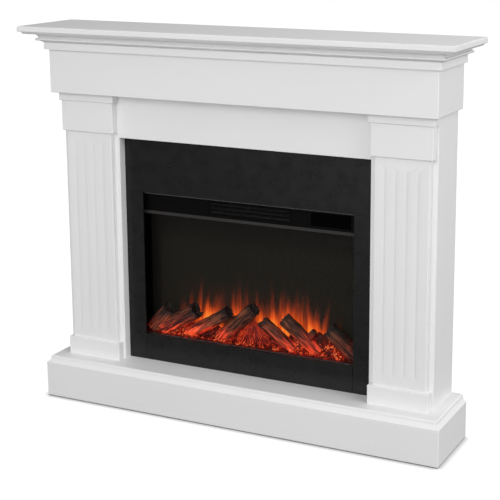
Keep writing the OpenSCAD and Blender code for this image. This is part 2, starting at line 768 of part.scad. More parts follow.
shelf_top();
crown_front();
crown_left();
crown_right();
frieze_front();
frieze_ends();
frieze_floor();
side_panel_left();
side_panel_right();
leg_fronts();
inner_panels();
lintel_panel();
pilaster_caps();
pilaster_blocks();
pilaster_shaft_left();
pilaster_shaft_right();
pilaster_plinths();
base_deck();
base_front();
base_left();
base_right();
base_glides();
back_rails();
surround_top();
surround_left();
surround_right();
surround_bottom();
control_strip();
outlet_louvres();
display_window();
trim_bar();
front_glass();
case_floor();
case_roof();
case_sides();
rear_cover();
side_liners();
log_tray();
flame_screen();
ember_bed();
log_1();
log_2();
log_3();
log_4();
log_5();
log_6();
log_7();
flame_rotor();
rotor_motor();
rotor_bearing();
led_strips();
blower_housing();
blower_wheel();
blower_motor();
heater_element();
thermal_cutout();
control_board();
power_switch();
switch_housing();
power_inlet();
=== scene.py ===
"""Electric fireplace: the looks of the mantel, the surround and the fire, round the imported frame."""
import math
import random

import bpy
from mathutils import Euler, Matrix, Vector, noise


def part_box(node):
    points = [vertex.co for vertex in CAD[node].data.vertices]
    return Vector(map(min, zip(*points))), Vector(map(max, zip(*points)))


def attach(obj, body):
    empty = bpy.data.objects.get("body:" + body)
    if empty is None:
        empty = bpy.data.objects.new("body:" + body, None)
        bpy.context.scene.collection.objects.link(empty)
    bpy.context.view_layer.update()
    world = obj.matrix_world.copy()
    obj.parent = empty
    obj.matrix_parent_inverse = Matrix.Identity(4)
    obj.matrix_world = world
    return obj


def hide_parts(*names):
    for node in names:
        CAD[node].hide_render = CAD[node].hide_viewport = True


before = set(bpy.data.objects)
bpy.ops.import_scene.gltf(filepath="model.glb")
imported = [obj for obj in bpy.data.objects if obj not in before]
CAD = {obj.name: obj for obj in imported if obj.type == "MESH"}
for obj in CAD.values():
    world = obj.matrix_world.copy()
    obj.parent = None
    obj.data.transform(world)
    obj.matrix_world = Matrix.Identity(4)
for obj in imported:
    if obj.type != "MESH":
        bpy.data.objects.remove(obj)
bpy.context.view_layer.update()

bl_info = {
    "name": "Electric Fireplace",
    "version": (1, 0, 0),
    "blender": (4, 5, 0),
    "location": "3D View > Sidebar > Fireplace",
    "description": "Builds a painted mantel with a slim flame-effect heater",
    "category": "Add Mesh",
}

MM = 0.001
ON_FACE = 0.05*MM
SEED = 7

BED_LOW, BED_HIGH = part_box("ember_bed")
SCREEN_LOW, SCREEN_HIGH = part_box("flame_screen")

# Each log: its two ends as (x, height over the tray), its radius, in mm, how grey its bark is,
# and how much of it glows
LOGS = {
    "log_1": ((-314, 7), (-257, 70), 20.5, 0.35, 0.35),
    "log_2": ((-285, 8), (-173, 78), 21, 0.2, 0.8),
    "log_3": ((-202, 5), (-76, 83), 16, 0.2, 1.0),
    "log_4": ((-100, 8), (1, 104), 18, 0.5, 0.9),
    "log_5": ((24, 72), (125, 0), 15, 0.3, 1.0),
    "log_6": ((88, 88), (192, 8), 17, 0.15, 1.0),
    "log_7": ((217, 77), (299, 10), 20, 0.3, 0.22),
}

# The log with the stub of a branch, and how far along it that is
KNOTTED_LOG = 6
KNOT_ALONG = 84*MM

# Each tongue of flame on the screen: foot x, foot z, tip x, tip z, half width, strength
TONGUES = (
    (-228, 250, -230, 300, 9, 0.22), (-203, 252, -195, 335, 8, 0.34),
    (-180, 236, -160, 372, 9, 0.62), (-158, 232, -141, 330, 10, 0.62),
    (-147, 225, -146, 300, 13, 1.0), (-130, 235, -122, 330, 10, 0.62),
    (-112, 250, -106, 360, 9, 0.3), (-72, 256, -70, 366, 9, 0.4),
    (-56, 252, -52, 380, 9, 0.46), (-34, 262, -33, 372, 9, 0.26),
    (2, 232, -7, 350, 11, 0.66), (16, 228, 12, 322, 12, 0.84),
    (34, 226, 28, 326, 10, 0.56), (49, 226, 42, 392, 10, 0.5),
    (54, 228, 60, 318, 11, 0.84), (72, 252, 80, 376, 9, 0.52),
    (92, 258, 95, 345, 13, 0.78), (112, 260, 118, 384, 9, 0.4),
    (128, 246, 136, 366, 10, 0.58), (152, 236, 148, 370, 9, 0.62),
    (165, 226, 161, 312, 13, 1.0), (177, 218, 176, 330, 9, 0.78),
    (190, 218, 212, 350, 9, 0.66), (236, 240, 248, 300, 8, 0.24),
    # low broad glows behind the gaps between the logs
    (-145, 215, -145, 285, 24, 0.6), (-62, 245, -62, 300, 15, 0.35), (8, 215, 8, 290, 18, 0.5),
    (52, 215, 50, 290, 17, 0.5), (92, 245, 92, 310, 17, 0.45), (168, 205, 166, 285, 22, 0.75),
    (192, 205, 194, 270, 14, 0.55),
)

# How much wider than its core a tongue's soft edge is
FLAME_SPREAD = 1.9

# Where the bed banks up behind the logs: middle and width across, and height, in mm
RIDGES = (
    (-235, 40, 22), (-147, 34, 40), (-62, 26, 58), (20, 34, 46), (52, 20, 40), (120, 34, 34),
    (186, 34, 34), (250, 44, 24),
)

# Mounds of crumbs in front of the logs' feet: middle and width across, and height, in mm
MOUNDS = (
    (-262, 22, 12), (-200, 34, 15), (-92, 28, 13), (0, 46, 12), (70, 32, 10), (120, 26, 12),
    (178, 26, 16), (222, 34, 22),
)

# Hot places in the bed: middle and width across, in mm, and how hot
HOT_SPOTS = (
    (-258, 26, 0.95), (-195, 32, 0.9), (-88, 28, 1.0), (-5, 40, 0.7), (85, 36, 0.75),
    (125, 26, 0.8), (165, 28, 0.8), (215, 26, 0.75), (245, 22, 1.0),
)

BOARDS = (
    # piece, CAD node, rounded edges named by the two faces that meet there
    ("frieze_board_front", "frieze_front", ("outer front", "front bottom", "outer bottom")),
    ("frieze_board_ends", "frieze_ends", ("outer bottom",)),
    ("side_board_left", "side_panel_left", ("outer front",)),
    ("side_board_right", "side_panel_right", ("outer front",)),
    ("leg_boards", "leg_fronts", ("inner front",)),
    ("lintel_board", "lintel_panel", ("front bottom",)),
    ("pilaster_cap_boards", "pilaster_caps", ("outer front", "inner front", "front bottom",
                                              "outer bottom", "inner bottom")),
    ("pilaster_block_boards", "pilaster_blocks", ("outer front", "inner front", "front bottom",
                                                  "outer bottom", "inner bottom")),
    ("pilaster_board_left", "pilaster_shaft_left", ("outer front", "inner front")),
    ("pilaster_board_right", "pilaster_shaft_right", ("outer front", "inner front")),
    ("plinth_blocks", "pilaster_plinths", ("outer front", "inner front", "front top",
                                           "outer top", "inner top")),
    ("base_board_front", "base_front", ("outer front", "front bottom", "outer bottom")),
    ("base_board_left", "base_left", ("outer bottom",)),
    ("base_board_right", "base_right", ("outer bottom",)),
)


# ---------- working with objects ----------

def only(piece):
    """Selects one object alone and makes it the active one"""
    bpy.ops.object.select_all(action="DESELECT")
    piece.select_set(True)
    bpy.context.view_layer.objects.active = piece


def editing(piece):
    """Opens one object alone in edit mode"""
    only(piece)
    bpy.ops.object.mode_set(mode="EDIT")
    bpy.ops.mesh.select_mode(type="EDGE")


def done():
    """Leaves edit mode"""
    bpy.ops.object.mode_set(mode="OBJECT")


def select_where(piece, kind, wanted):
    """In edit mode, selects the vertices, edges or faces that `wanted` picks"""
    bpy.ops.mesh.select_mode(type={"vertices": "VERT", "edges": "EDGE", "polygons": "FACE"}[kind])
    bpy.ops.mesh.select_all(action="DESELECT")
    bpy.ops.object.mode_set(mode="OBJECT")
    mesh = piece.data
    for item in getattr(mesh, kind):
        item.select = wanted(item)
    bpy.ops.object.mode_set(mode="EDIT")


def select_upright(piece):
    """In edit mode, selects the edges that run up a new cylinder or cone"""
    def upright(edge):
        ends = [piece.data.vertices[i].co.z for i in edge.vertices]
        return abs(ends[0] - ends[1]) > ON_FACE

    select_where(piece, "edges", upright)


def modify(piece, kind, **settings):
    """Adds a modifier and applies it"""
    only(piece)
    modifier = piece.modifiers.new(kind.title(), kind)
    for key, value in settings.items():
        setattr(modifier, key, value)
    bpy.ops.object.modifier_apply(modifier=modifier.name)


def smooth(piece, degrees=40, weighted=True):
    only(piece)
    bpy.ops.object.shade_smooth_by_angle(angle=math.radians(degrees))
    if weighted:
        modify(piece, "WEIGHTED_NORMAL", keep_sharp=True)


def outward(piece):
    """Turns all faces of a closed piece outwards"""
    editing(piece)
    bpy.ops.mesh.select_all(action="SELECT")
    bpy.ops.mesh.normals_make_consistent(inside=False)
    done()


def cut_away(piece, *planes):
    """Cuts off and closes what lies past each plane, given as a point on it and the way out"""
    editing(piece)
    for point, way in planes:
        bpy.ops.mesh.select_all(action="SELECT")
        bpy.ops.mesh.bisect(plane_co=point, plane_no=way, use_fill=True, clear_outer=True)
    done()
    outward(piece)


def active(name):
    """Names the object that was just added, and gives it"""
    piece = bpy.context.view_layer.objects.active
    piece.name = piece.data.name = name
    return piece


def settle(piece):
    """Puts a piece's place and turn into its mesh"""
    only(piece)
    bpy.ops.object.transform_apply(location=True, rotation=True, scale=True)


def copy_of(node, name):
    """A new object with a CAD node's shape, its loose triangles merged into whole faces"""
    piece = bpy.data.objects.new(name, CAD[node].data.copy())
    piece.data.name = name
    piece.data.materials.clear()
    bpy.context.collection.objects.link(piece)
    editing(piece)
    bpy.ops.mesh.select_all(action="SELECT")
    bpy.ops.mesh.remove_doubles(threshold=0.01*MM)
    bpy.ops.mesh.dissolve_limited(angle_limit=math.radians(0.5))
    done()
    return piece


def hand_over(piece, slot, coat, *nodes, body="mantel"):
    """Gives a finished piece its coat, its body and the CAD nodes it stands for"""
    piece.data.materials.clear()
    piece.data.materials.append(coat)
    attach(piece, body)
    if nodes:
        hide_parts(*nodes)


def faces_at(point, low, high, inner, outer):
    """The names of the faces of a node's box that a point lies on"""
    places = (("front", point.y, low.y), ("back", point.y, high.y), ("bottom", point.z, low.z),
              ("top", point.z, high.z), ("inner", abs(point.x), inner),
              ("outer", abs(point.x), outer))
    return {name for name, here, there in places if abs(here - there) < ON_FACE}


def rounded(node, name, pairs, width, segments=3):
    """A copy of a CAD node with the edges between named faces rounded over"""
    piece = copy_of(node, name)
    low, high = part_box(node)
    spread = [abs(v.co.x) for v in piece.data.vertices]
    wanted = [set(pair.split()) for pair in pairs]

    def picked(edge):
        ends = [faces_at(piece.data.vertices[i].co, low, high, min(spread), max(spread))
                for i in edge.vertices]
        return any(pair <= (ends[0] & ends[1]) for pair in wanted)

    editing(piece)
    select_where(piece, "edges", picked)
    bpy.ops.mesh.bevel(offset=width, segments=segments, affect="EDGES", clamp_overlap=True)
    done()
    smooth(piece)
    return piece


def eased(node, name, width, segments=2, degrees=30):
    """A copy of a CAD node with all its sharp edges taken off"""
    piece = copy_of(node, name)
    modify(piece, "BEVEL", width=width, segments=segments, limit_method="ANGLE",
           angle_limit=math.radians(degrees), use_clamp_overlap=True)
    smooth(piece)
    return piece


def held(value, low=0.0, high=1.0):
    """A value kept between two limits"""
    return min(high, max(low, value))


# ---------- working with materials ----------

def fixed(material, socket, value):
    """Sets a socket of the shader that is the same all over"""
    material.node_tree.nodes["Principled BSDF"].inputs[socket].default_value = value


def feed(material, socket, value):
    """Links a node's output to a socket of the shader"""
    shader = material.node_tree.nodes["Principled BSDF"]
    material.node_tree.links.new(value, shader.inputs[socket])


def finish_named(name, colour, roughness, specular=0.5, metallic=0.0):
    """A new material with its even values set"""
    material = bpy.data.materials.new(name)
    material.use_nodes = True
    fixed(material, "Base Color", (*colour, 1))
    fixed(material, "Roughness", roughness)
    fixed(material, "Specular IOR Level", specular)
    fixed(material, "Metallic", metallic)
    return material


def put(material, kind, inputs=None, **settings):
    """Adds a node, sets or links its inputs, and gives its first output"""
    tree = material.node_tree
    made = tree.nodes.new(kind)
    for key, value in settings.items():
        setattr(made, key, value)
    for key, value in (inputs or {}).items():
        if isinstance(value, bpy.types.NodeSocket):
            tree.links.new(value, made.inputs[key])
        else:
            made.inputs[key].default_value = value
    return made.outputs[0]


def place(material, stretch=(1, 1, 1)):
    """The point on the object, stretched, in metres"""
    coordinates = material.node_tree.nodes.new("ShaderNodeTexCoord")
    return put(material, "ShaderNodeMapping",
               {"Vector": coordinates.outputs["Object"], "Scale": stretch})


def written(material, name, output="Fac"):
    """What the mesh's point attribute of this name holds"""
    return put(material, "ShaderNodeAttribute", attribute_name=name).node.outputs[output]


def speckle(material, where, scale, detail=3.0, roughness=0.5):
    """Noise from 0 to 1, with `scale` lumps to the metre"""
    return put(material, "ShaderNodeTexNoise", {"Vector": where, "Scale": scale, "Detail": detail,
                                                "Roughness": roughness})


def between(material, value, low, high, start=0.0, end=1.0):
    """A value from low to high drawn out to run from start to end"""
    return put(material, "ShaderNodeMapRange", {"Value": value, "From Min": low, "From Max": high,
                                                "To Min": start, "To Max": end})


def sums(material, operation, *values, clamp=False):
    """A sum worked out by a Math node"""
    return put(material, "ShaderNodeMath", dict(enumerate(values)), operation=operation,
               use_clamp=clamp)


def ramp(material, value, *stops):
    """Colours along a value: stops are (place, (r, g, b))"""
    made = put(material, "ShaderNodeValToRGB", {"Fac": value}).node
    band = made.color_ramp
    while len(band.elements) < len(stops):
        band.elements.new(0.5)
    for element, (where, colour) in zip(band.elements, stops):
        element.position = where
        element.color = (*colour, 1)
    return made.outputs[0]


def relief(material, height, strength, depth):
    """Bumps from a height, as deep as `depth` metres at full strength"""
    feed(material, "Normal", put(material, "ShaderNodeBump", {"Height": height,
                                 "Strength": strength, "Distance": depth}))


def grey(level):
    """A colour with no hue"""
    return (level, level, level)


def paint_finish(name, settings):
    """Satin paint rolled on fibreboard: faint stipple and slightly uneven gloss"""
    shade = settings.paint_colour
    made = finish_named(name, shade, settings.paint_roughness, specular=0.4)
    where = place(made)
    cloud = speckle(made, where, 5, 4)
    stipple = speckle(made, where, 950, 2)
    feed(made, "Base Color", ramp(made, cloud, (0.3, [c*0.985 for c in shade]), (0.7, shade)))
    feed(made, "Roughness", between(made, speckle(made, where, 40, 3), 0.3, 0.7,
                                    settings.paint_roughness - 0.05,
                                    settings.paint_roughness + 0.05))
    relief(made, stipple, 0.25, 0.06*MM)
    return made


def powder_finish(name, shade, roughness, specular=0.16, grain=0.1*MM):
    """Fine-textured powder coat on sheet metal"""
    made = finish_named(name, shade, roughness, specular)
    where = place(made)
    fine = speckle(made, where, 1100, 2, 0.6)
    feed(made, "Base Color", ramp(made, fine, (0.35, [c*0.75 for c in shade]),
                                  (0.65, [c*1.2 for c in shade])))
    feed(made, "Roughness", between(made, speckle(made, where, 30, 3), 0.3, 0.7,
                                    roughness - 0.06, roughness + 0.06))
    relief(made, fine, 0.5, grain)
    return made


def gloss_finish(name, shade, roughness, specular=0.5):
    """Moulded plastic or glass: nearly smooth, with faint smears in its gloss"""
    made = finish_named(name, shade, roughness, specular)
    where = place(made)
    feed(made, "Roughness", between(made, speckle(made, where, 60, 5), 0.3, 0.75,
                                    roughness*0.8, roughness*1.35))
    feed(made, "Base Color", ramp(made, speckle(made, where, 500, 2),
                                  (0.3, [c*0.85 for c in shade]), (0.7, shade)))
    relief(made, speckle(made, where, 700, 2), 0.1, 0.04*MM)
    return made


def metal_finish(name, shade, roughness, stretch=(1, 1, 1), scale=160):
    """Bare metal with drawn lines or spangle, by how its pattern is stretched"""
    made = finish_named(name, shade, roughness, metallic=1.0)
    where = place(made, stretch)
    lines = speckle(made, where, scale, 5, 0.6)
    feed(made, "Base Color", ramp(made, lines, (0.25, [c*0.72 for c in shade]), (0.75, shade)))
    feed(made, "Roughness", between(made, lines, 0.2, 0.8, roughness - 0.08, roughness + 0.14))
    relief(made, lines, 0.3, 0.05*MM)
    return made


def board_finish(name):
    """Circuit board: green lacquer over tracks, with dark parts standing on it"""
    made = finish_named(name, (0.02, 0.14, 0.05), 0.35)
    where = place(made)
    tracks = put(made, "ShaderNodeTexBrick", {"Vector": place(made, (1, 0.001, 1)), "Scale": 90,
                 "Mortar Size": 0.03, "Color1": (0.012, 0.11, 0.035, 1),
                 "Color2": (0.02, 0.15, 0.05, 1), "Mortar": (0.10, 0.30, 0.12, 1)})
    split = put(made, "ShaderNodeSeparateXYZ", {"Vector": where}).node
    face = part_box("control_board")[0].y + 8*MM
    standing = between(made, split.outputs["Y"], face, face + 0.2*MM)
    mixed = put(made, "ShaderNodeMixRGB", {"Fac": standing, "Color1": tracks,
                                           "Color2": (0.02, 0.02, 0.022, 1)})
    feed(made, "Base Color", mixed)
    feed(made, "Roughness", between(made, speckle(made, where, 200), 0.3, 0.7, 0.25, 0.5))
    relief(made, tracks, 0.2, 0.05*MM)
    return made


def bark_finish(name, settings):
    """Moulded bark: streaks along the log, charred where `char` says, glowing where `glow` says"""
    made = finish_named(name, (0.2, 0.08, 0.04), 0.8)
    grain = written(made, "grain", "Vector")
    glow = written(made, "glow")

    def along_grain(length, *looks):
        shrunk = put(made, "ShaderNodeMapping", {"Vector": grain, "Scale": (1, 1, length)})
        return speckle(made, shrunk, *looks)

    streak = along_grain(0.1, 300, 5, 0.6)
    band = along_grain(0.14, 90, 3, 0.5)
    patch = along_grain(0.35, 70, 4, 0.55)
    mixed = sums(made, "MULTIPLY_ADD", sums(made, "SUBTRACT", band, 0.5), 0.7, streak)
    # Painted shade: the grooves lower the height, which darkens the bark's colour in the creases; the
    # streaks and bands are the bark's own tone
    height = sums(made, "SUBTRACT", mixed, sums(made, "MULTIPLY", written(made, "groove"), 0.22))
    bark = ramp(made, height, (0.28, (0.008, 0.003, 0.002)), (0.40, (0.075, 0.022, 0.012)),
                (0.50, (0.20, 0.050, 0.022)), (0.60, (0.31, 0.088, 0.042)),
                (0.74, (0.42, 0.155, 0.080)))
    burnt = sums(made, "ADD", written(made, "char"), between(made, patch, 0.35, 0.65, -0.4, 0.3),
                 clamp=True)
    black = ramp(made, streak, (0.35, (0.004, 0.003, 0.003)), (0.7, (0.030, 0.022, 0.019)))
    feed(made, "Base Color", put(made, "ShaderNodeMixRGB", {"Fac": burnt, "Color1": bark,
                                                            "Color2": black}))
    heat = sums(made, "MULTIPLY", glow, between(made, height, 0.30, 0.62, 0.05, 1.25))
    feed(made, "Emission Color", ramp(made, heat, (0.0, (0.0, 0.0, 0.0)),
                                      (0.25, (0.14, 0.004, 0.001)), (0.5, (0.5, 0.016, 0.003)),
                                      (0.75, (0.75, 0.032, 0.006)), (1.0, (0.95, 0.075, 0.013))))
    fixed(made, "Emission Strength", settings.glow_strength)
    relief(made, height, 0.9, 1.2*MM)
    return made


def ember_finish(name, settings, hottest):
    """Embers: black-red where cool, orange where hot, as the `glow` attribute says"""
    made = finish_named(name, (0.05, 0.01, 0.006), 0.5, specular=0.2)
    crackle = speckle(made, place(made), 520, 4, 0.6)
    heat = sums(made, "MULTIPLY", written(made, "glow"),
                between(made, crackle, 0.36, 0.62, 0.2, 1.3))
    feed(made, "Base Color", ramp(made, crackle, (0.35, (0.006, 0.001, 0.001)),
                                  (0.65, (0.09, 0.011, 0.005))))
    feed(made, "Emission Color", ramp(made, heat, (0.0, (0.004, 0.0, 0.0)),
                                      (0.2, (0.08, 0.002, 0.001)), (0.45, (0.42, 0.011, 0.003)),
                                      (0.75, (0.95, 0.05, 0.010)), (1.0, hottest)))
    fixed(made, "Emission Strength", settings.glow_strength)
    relief(made, crackle, 0.8, 0.8*MM)
    return made


def tongue_group():
    """One tongue of flame: bright at its foot, narrowing and fading towards its tip"""
    group = bpy.data.node_groups.new("flame_tongue", "ShaderNodeTree")
    names = ("X", "Z", "Foot X", "Foot Z", "Lean", "Height", "Width", "Strength")
    for name in names:
        group.interface.new_socket(name, in_out="INPUT", socket_type="NodeSocketFloat")
    group.interface.new_socket("Light", in_out="OUTPUT", socket_type="NodeSocketFloat")

    class Holder:
        """Stands in for a material, of which sums() asks only its node tree"""
        node_tree = group

    given = group.nodes.new("NodeGroupInput").outputs
    rise = sums(Holder, "DIVIDE", sums(Holder, "SUBTRACT", given["Z"], given["Foot Z"]),
                given["Height"], clamp=True)
    left = sums(Holder, "SUBTRACT", 1.0, rise)
    axis = sums(Holder, "MULTIPLY_ADD", given["Lean"], rise, given["Foot X"])
    width = sums(Holder, "MULTIPLY_ADD", given["Width"], sums(Holder, "POWER", left, 0.7), 0.9*MM)
    off = sums(Holder, "DIVIDE", sums(Holder, "SUBTRACT", given["X"], axis), width)
    core = sums(Holder, "SUBTRACT", 1.0, sums(Holder, "MULTIPLY", off, off), clamp=True)
    soft = sums(Holder, "MULTIPLY", core, core)
    light = sums(Holder, "MULTIPLY", sums(Holder, "MULTIPLY", soft, sums(Holder, "POWER", left, 1.7)),
                 given["Strength"])
    out = group.nodes.new("NodeGroupOutput")
    group.links.new(light, out.inputs["Light"])
    return group


def screen_finish(name, settings):
    """Dark smoked screen with the flames thrown on it from behind"""
    made = finish_named(name, (0.007, 0.006, 0.005), 0.42, specular=0.14)
    split = put(made, "ShaderNodeSeparateXYZ", {"Vector": place(made)}).node
    x, z = split.outputs["X"], split.outputs["Z"]
    # Wisps: the pattern is dragged sideways by a tall thin noise
    drag = speckle(made, place(made, (1, 1, 0.35)), 34, 3, 0.55)
    swayed = sums(made, "MULTIPLY_ADD", sums(made, "SUBTRACT", drag, 0.5), 26*MM, x)
    streaks = speckle(made, place(made, (1, 1, 0.06)), 190, 3, 0.6)
    group = tongue_group()
    total = None
    for foot_x, foot_z, tip_x, tip_z, width, strength in TONGUES:
        node = made.node_tree.nodes.new("ShaderNodeGroup")
        node.node_tree = group
        made.node_tree.links.new(swayed, node.inputs["X"])
        made.node_tree.links.new(z, node.inputs["Z"])
        for key, value in (("Foot X", foot_x*MM), ("Foot Z", foot_z*MM),
                           ("Lean", (tip_x - foot_x)*MM), ("Height", (tip_z - foot_z)*MM),
                           ("Width", width*FLAME_SPREAD*MM), ("Strength", strength)):
            node.inputs[key].default_value = value
        total = node.outputs[0] if total is None else sums(made, "ADD", total, node.outputs[0])
    light = sums(made, "MULTIPLY", total, between(made, streaks, 0.3, 0.7, 0.45, 1.25))
    # A soft haze round the feet of the flames
    haze = sums(made, "MULTIPLY", between(made, z, 345*MM, 230*MM),
                between(made, sums(made, "ABSOLUTE", x), 250*MM, 120*MM))
    light = sums(made, "MULTIPLY_ADD", haze, 0.10, light)
    # Painted light: the screen is given a faint glow all over, dimmer at its margins as painted shade,
    # and the flames burn through it
    painted_margin_mask = sums(made, "MULTIPLY", between(made, sums(made, "ABSOLUTE", x), 300*MM, 295*MM),
                  between(made, z, 474*MM, 444*MM))
    painted_screen_light = ramp(made, painted_margin_mask, (0.0, (0.0026, 0.0022, 0.0020)), (1.0, (0.0066, 0.0056, 0.0038)))
    flame = ramp(made, light, (0.0, (0.0, 0.0, 0.0)), (0.08, (0.022, 0.0030, 0.0006)),
                 (0.25, (0.17, 0.016, 0.002)), (0.5, (0.56, 0.056, 0.005)),
                 (0.85, (1.0, 0.125, 0.009)), (1.0, (1.0, 0.24, 0.028)))
    feed(made, "Emission Color", put(made, "ShaderNodeMixRGB", {"Fac": 1.0, "Color1": painted_screen_light,
                                     "Color2": flame}, blend_type="ADD"))
    fixed(made, "Emission Strength", settings.flame_strength)
    return made


def pane_finish(name):
    """Clear toughened glass: mirrors a little, more at a slant, and hides nothing behind it"""
    made = bpy.data.materials.new(name)
    made.use_nodes = True
    tree = made.node_tree
    tree.nodes.remove(tree.nodes["Principled BSDF"])
    clear = put(made, "ShaderNodeBsdfTransparent", {"Color": (0.93, 0.93, 0.92, 1)})
    smears = between(made, speckle(made, place(made), 25, 5), 0.3, 0.7, 0.02, 0.07)
    mirror = put(made, "ShaderNodeBsdfGlossy", {"Color": (1, 1, 1, 1), "Roughness": smears})
    share = put(made, "ShaderNodeFresnel", {"IOR": 1.08})
    both = tree.nodes.new("ShaderNodeMixShader")
    tree.links.new(share, both.inputs[0])
    tree.links.new(clear, both.inputs[1])
    tree.links.new(mirror, both.inputs[2])
    tree.links.new(both.outputs[0], tree.nodes["Material Output"].inputs["Surface"])
    return made


def lamp_finish(name):
    """Strips of small lights: cream board, with lit chips standing on it"""
    made = finish_named(name, (0.6, 0.58, 0.5), 0.45)
    split = put(made, "ShaderNodeSeparateXYZ", {"Vector": place(made)}).node
    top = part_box("led_strips")[1].z
    lit = between(made, split.outputs["Z"], top - 1.2*MM, top - 1.0*MM)
    feed(made, "Base Color", ramp(made, lit, (0, (0.55, 0.53, 0.46)), (1, (0.9, 0.75, 0.4))))
    feed(made, "Emission Strength", sums(made, "MULTIPLY", lit, 0.6))
    fixed(made, "Emission Color", (1, 0.4, 0.1, 1))
    return made


# ---------- sizes and colours ----------

class FIREPLACE_PG_mantel(bpy.types.PropertyGroup):
    """Sizes and colours of the painted mantel"""
    edge_radius: bpy.props.FloatProperty(
        name="Edge radius", description="Rounding of the boards' edges",
        default=1.8*MM, min=0.2*MM, max=4*MM, unit="LENGTH")
    paint_colour: bpy.props.FloatVectorProperty(
        name="Paint", description="Colour of the mantel", subtype="COLOR",
        default=(0.80, 0.80, 0.80), min=0, max=1)
    paint_roughness: bpy.props.FloatProperty(
        name="Paint roughness", description="0 is mirror gloss and 1 is dead flat",
        default=0.42, min=0.1, max=0.9, subtype="FACTOR")


class FIREPLACE_PG_insert(bpy.types.PropertyGroup):
    """Colours of the black surround and its trim"""
    surround_colour: bpy.props.FloatVectorProperty(
        name="Surround", description="Colour of the surround's powder coat", subtype="COLOR",
        default=(0.004, 0.004, 0.004), min=0, max=1)
    trim_colour: bpy.props.FloatVectorProperty(
        name="Trim", description="Colour of the trim bar", subtype="COLOR",
        default=(0.035, 0.033, 0.032), min=0, max=1)
    metal_edge: bpy.props.FloatProperty(
        name="Metal edge", description="Rounding of the sheet metal's edges",
        default=0.6*MM, min=0.1*MM, max=1.2*MM, unit="LENGTH")


class FIREPLACE_PG_fire(bpy.types.PropertyGroup):
    """The logs, the embers and the flames"""
    glow_strength: bpy.props.FloatProperty(
        name="Glow", description="Brightness of the embers and logs", default=1.0, min=0, max=20)
    flame_strength: bpy.props.FloatProperty(
        name="Flames", description="Brightness of the flames", default=1.0, min=0, max=20)
    bark_depth: bpy.props.FloatProperty(
        name="Bark depth", description="Depth of the grooves along a log",
        default=2.6*MM, min=0, max=5*MM, unit="LENGTH")
    crumb_count: bpy.props.IntProperty(
        name="Crumbs", description="Number of loose glowing crumbs", default=3600, min=0, max=8000)
    crumb_size: bpy.props.FloatProperty(
        name="Crumb size", description="Usual radius of a crumb", default=1.75*MM,
        min=0.5*MM, max=4*MM, unit="LENGTH")


class FIREPLACE_PG_stage(bpy.types.PropertyGroup):
    """The floor and the studio lights"""
    light: bpy.props.FloatProperty(
        name="Light", description="Brightness of the soft boxes", default=1.0, min=0, max=10)
    floor_colour: bpy.props.FloatVectorProperty(
        name="Floor", description="Colour of the floor", subtype="COLOR",
        default=(0.26, 0.26, 0.26), min=0, max=1)


class FIREPLACE_PG_all(bpy.types.PropertyGroup):
    """All the settings together"""
    mantel: bpy.props.PointerProperty(type=FIREPLACE_PG_mantel)
    insert: bpy.props.PointerProperty(type=FIREPLACE_PG_insert)
    fire: bpy.props.PointerProperty(type=FIREPLACE_PG_fire)
    stage: bpy.props.PointerProperty(type=FIREPLACE_PG_stage)


def chosen():
    """The settings in the sidebar"""
    return bpy.context.scene.fireplace


finishes = {}


def finish(name, make, *given):
    """A finish that is made once and shared by like pieces"""
    if name not in finishes:
        finishes[name] = make(name, *given)
    return finishes[name]


def white():
    return finish("mantel_paint", paint_finish, chosen().mantel)


def black_coat():
    return finish("surround_coat", powder_finish, chosen().insert.surround_colour, 0.30, 0.42)


def inner_black():
    return finish("inner_coat", powder_finish, grey(0.0028), 0.5, 0.05)


def trim_coat():
    return finish("trim_coat", powder_finish, chosen().insert.trim_colour, 0.4)


def black_plastic():
    return finish("black_plastic", gloss_finish, grey(0.012), 0.32)


def sheet_steel():
    return finish("sheet_steel", metal_finish, (0.46, 0.47, 0.48), 0.42)


# ---------- the mantel ----------

class FIREPLACE_OT_boards(bpy.types.Operator):
    """Builds the mantel's flat boards with eased edges"""
    bl_idname = "fireplace.boards"
    bl_label = "Boards"

    def execute(self, context):
        radius = chosen().mantel.edge_radius
        for name, node, pairs in BOARDS:
            hand_over(rounded(node, name, pairs, radius), "paint", white(), node)
        for node in ("inner_panels", "frieze_floor", "back_rails"):
            coat_node(node, white())
        coat_node("base_glides", finish("glide_felt", gloss_finish, (0.2, 0.2, 0.19), 0.7))
        return {"FINISHED"}


class FIREPLACE_OT_mouldings(bpy.types.Operator):
    """Builds the shelf, the crown moulding and the base's moulded deck"""
    bl_idname = "fireplace.mouldings"
    bl_label = "Mouldings"

    def execute(self, context):
        for name, node in (("mantel_shelf", "shelf_top"), ("crown_length_front", "crown_front"),
                           ("crown_length_left", "crown_left"),
                           ("crown_length_right", "crown_right"), ("base_deck_board", "base_deck")):
            piece = copy_of(node, name)
            smooth(piece, 30)
            hand_over(piece, "paint", white(), node)
        return {"FINISHED"}


def coat_node(node, *coats):
    """Gives a CAD node a finish and leaves its shape alone"""
    slots = CAD[node].data.materials
    slots.clear()
    for coat in coats:
        slots.append(coat)


# ---------- the surround and the control strip ----------

class FIREPLACE_OT_surround(bpy.types.Operator):
    """Builds the black surround's four panels"""
    bl_idname = "fireplace.surround"
    bl_label = "Surround"

    def execute(self, context):
        edge = chosen().insert.metal_edge
        for side in ("top", "left", "right", "bottom"):
            piece = eased("surround_" + side, "surround_panel_" + side, edge)
            hand_over(piece, "black_metal", black_coat(), "surround_" + side)
        return {"FINISHED"}


